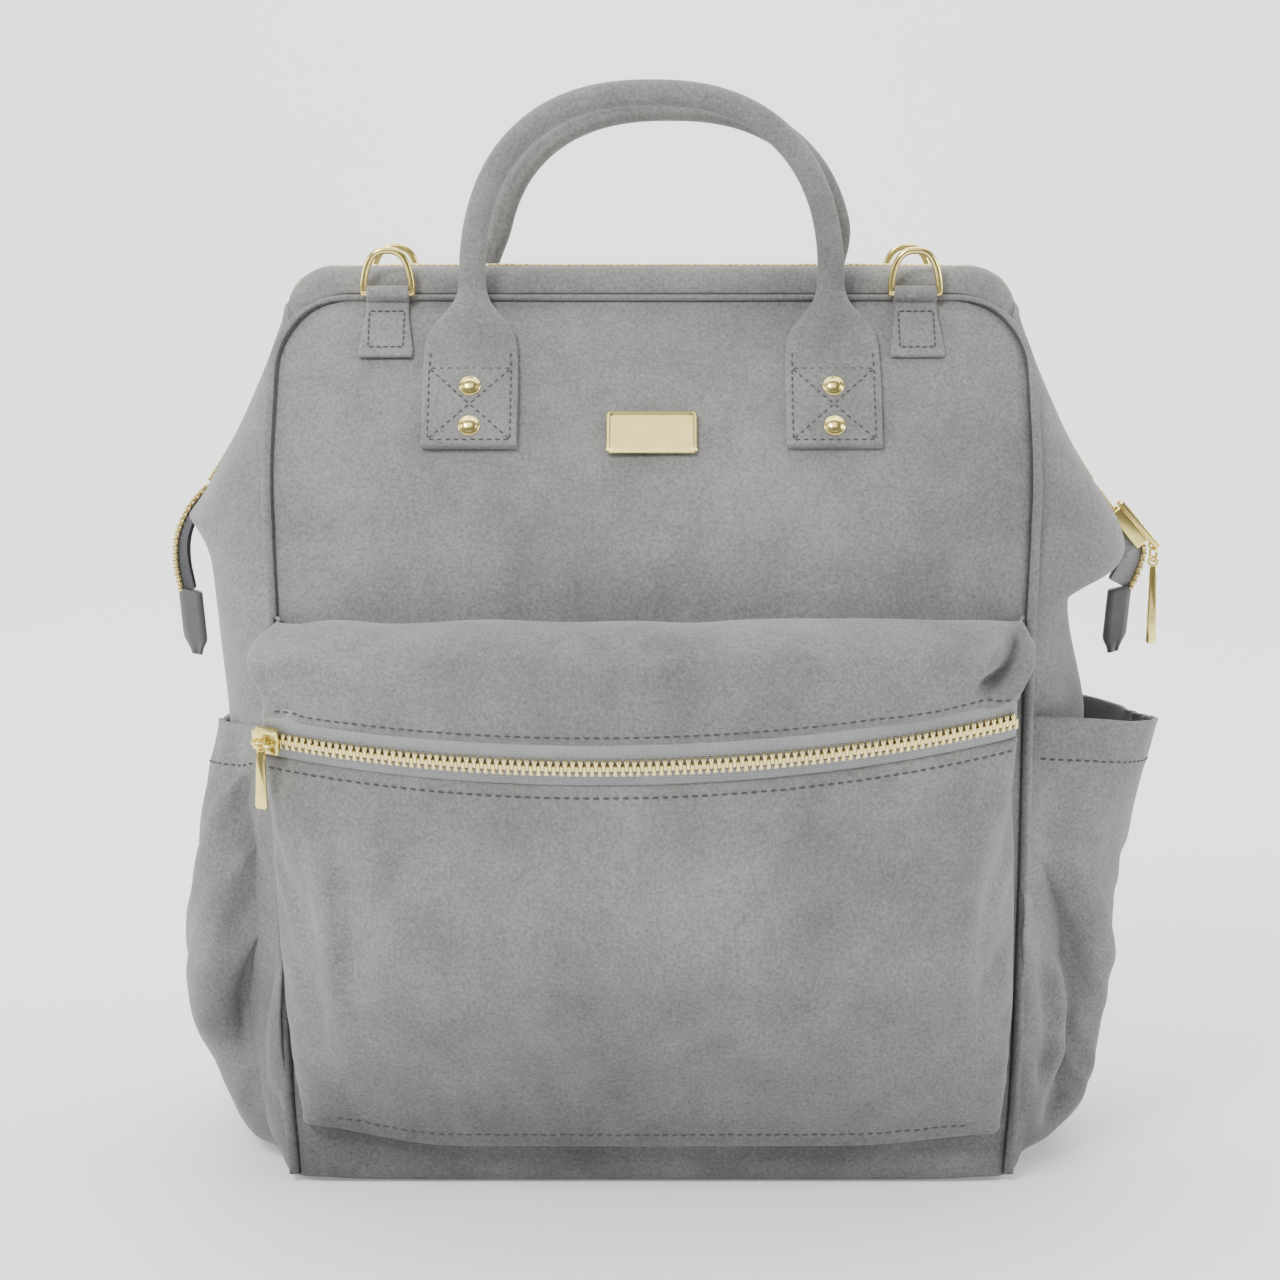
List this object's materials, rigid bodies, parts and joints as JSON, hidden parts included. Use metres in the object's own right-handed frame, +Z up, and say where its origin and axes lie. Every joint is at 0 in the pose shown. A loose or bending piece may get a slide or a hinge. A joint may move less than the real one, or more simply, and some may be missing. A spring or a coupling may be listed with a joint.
{
  "type": "diaper bag",
  "caption": "Grey wide-mouth diaper bag with hinged wire frame, two rolled handles, zip pocket and side pockets.",
  "frame": {"origin": "middle of the bottom panel, on the surface the bag stands on", "axes": "+Z up, +X to the right seen from the front, -Y towards the front pocket"},
  "size_m": [0.4473, 0.2413, 0.4747],
  "materials": {
    "suede": "napped faux suede",
    "lining": "smooth woven cloth",
    "zip_tape": "woven zip tape",
    "trim": "smooth folded leather",
    "gold_metal": "polished pale gold plating",
    "frame_steel": "zinc-plated spring wire",
    "board": "plain stiffener board"
  },
  "bodies": {
    "bag": {"base_panel": "suede", "base_board": "board", "inner_lining": "lining", "front_panel": "suede", "back_panel": "suede", "gusset_left": "suede", "gusset_right": "suede", "front_pocket_panel": "suede", "front_pocket_top": "suede", "front_pocket_zip_tape": "zip_tape", "front_pocket_zip_teeth": "gold_metal", "side_pocket_left": "suede", "side_pocket_right": "suede", "side_pocket_hem_left": "suede", "side_pocket_hem_right": "suede", "zip_tail_left": "zip_tape", "zip_tail_right": "zip_tape", "zip_end_tab_left": "trim", "zip_end_tab_right": "trim", "frame_pin_left": "frame_steel", "frame_pin_right": "frame_steel"},
    "front_mouth": {"front_upper_panel": "suede", "front_upper_gusset_left": "suede", "front_upper_gusset_right": "suede", "front_top_band": "suede", "front_zip_half": "zip_tape", "front_frame_wire": "frame_steel", "front_handle_tab_left": "suede", "front_rivet_left_upper": "gold_metal", "front_rivet_left_lower": "gold_metal", "front_ring_tab_left": "suede", "front_handle_tab_right": "suede", "front_rivet_right_upper": "gold_metal", "front_rivet_right_lower": "gold_metal", "front_ring_tab_right": "suede", "name_plate": "gold_metal"},
    "back_mouth": {"back_upper_panel": "suede", "back_upper_gusset_left": "suede", "back_upper_gusset_right": "suede", "back_top_band": "suede", "back_zip_half": "zip_tape", "back_frame_wire": "frame_steel", "back_handle_tab_left": "suede", "back_rivet_left_upper": "gold_metal", "back_rivet_left_lower": "gold_metal", "back_ring_tab_left": "suede", "back_handle_tab_right": "suede", "back_rivet_right_upper": "gold_metal", "back_rivet_right_lower": "gold_metal", "back_ring_tab_right": "suede"},
    "front_carry_handle": {"front_handle": "suede"},
    "front_ring_left": {"front_d_ring_left": "gold_metal"},
    "front_ring_right": {"front_d_ring_right": "gold_metal"},
    "back_carry_handle": {"back_handle": "suede"},
    "back_ring_left": {"back_d_ring_left": "gold_metal"},
    "back_ring_right": {"back_d_ring_right": "gold_metal"},
    "top_zip_slider": {"mouth_slider": "gold_metal"},
    "top_zip_pull": {"mouth_pull": "gold_metal"},
    "pocket_zip_slider": {"pocket_slider": "gold_metal"},
    "pocket_zip_pull": {"pocket_pull": "gold_metal"}
  },
  "joints": [
    {"name": "front_mouth_hinge", "type": "hinge", "parent": "bag", "child": "front_mouth", "pos_m": [0, 0, 0.292], "axis": [1, 0, 0], "range_deg": [0, 50], "deforming": ["front_upper_panel", "front_upper_gusset_left", "front_upper_gusset_right"]},
    {"name": "front_handle_fold", "type": "hinge", "parent": "front_mouth", "child": "front_carry_handle", "pos_m": [0, -0.0244, 0.387], "axis": [1, 0, 0], "range_deg": [-5, 100]},
    {"name": "front_ring_left_swing", "type": "hinge", "parent": "front_mouth", "child": "front_ring_left", "pos_m": [-0.115, -0.0218, 0.383], "axis": [1, 0, 0], "range_deg": [-8, 140]},
    {"name": "front_ring_right_swing", "type": "hinge", "parent": "front_mouth", "child": "front_ring_right", "pos_m": [0.115, -0.0218, 0.383], "axis": [1, 0, 0], "range_deg": [-8, 140]},
    {"name": "back_mouth_hinge", "type": "hinge", "parent": "bag", "child": "back_mouth", "pos_m": [0, 0, 0.292], "axis": [-1, 0, 0], "range_deg": [0, 50], "deforming": ["back_upper_panel", "back_upper_gusset_left", "back_upper_gusset_right"]},
    {"name": "back_handle_fold", "type": "hinge", "parent": "back_mouth", "child": "back_carry_handle", "pos_m": [0, 0.0244, 0.387], "axis": [-1, 0, 0], "range_deg": [-5, 100]},
    {"name": "back_ring_left_swing", "type": "hinge", "parent": "back_mouth", "child": "back_ring_left", "pos_m": [-0.115, 0.0218, 0.383], "axis": [-1, 0, 0], "range_deg": [-8, 140]},
    {"name": "back_ring_right_swing", "type": "hinge", "parent": "back_mouth", "child": "back_ring_right", "pos_m": [0.115, 0.0218, 0.383], "axis": [-1, 0, 0], "range_deg": [-8, 140]},
    {"name": "top_zip_travel", "type": "hinge", "parent": "bag", "child": "top_zip_slider", "pos_m": [0.4225, 0, 0.4548], "axis": [0, 1, 0], "range_deg": [0, 3]},
    {"name": "top_zip_pull_swing", "type": "hinge", "parent": "top_zip_slider", "child": "top_zip_pull", "pos_m": [0.22609, 0, 0.27027], "axis": [0, -1, 0], "range_deg": [-5, 100]},
    {"name": "pocket_zip_travel", "type": "hinge", "parent": "bag", "child": "pocket_zip_slider", "pos_m": [-0.00709, 0.2092, 0.29505], "axis": [-0.0219, -0.2638, 0.9643], "range_deg": [0, 49]},
    {"name": "pocket_zip_pull_lift", "type": "hinge", "parent": "pocket_zip_slider", "child": "pocket_zip_pull", "pos_m": [-0.16213, -0.11814, 0.20197], "axis": [-0.9075, 0.4201, 0], "range_deg": [0, 120]}
  ],
  "couplings": [
    {"joint": "top_zip_pull_swing", "follows": "top_zip_travel", "ratio": 20}
  ]
}
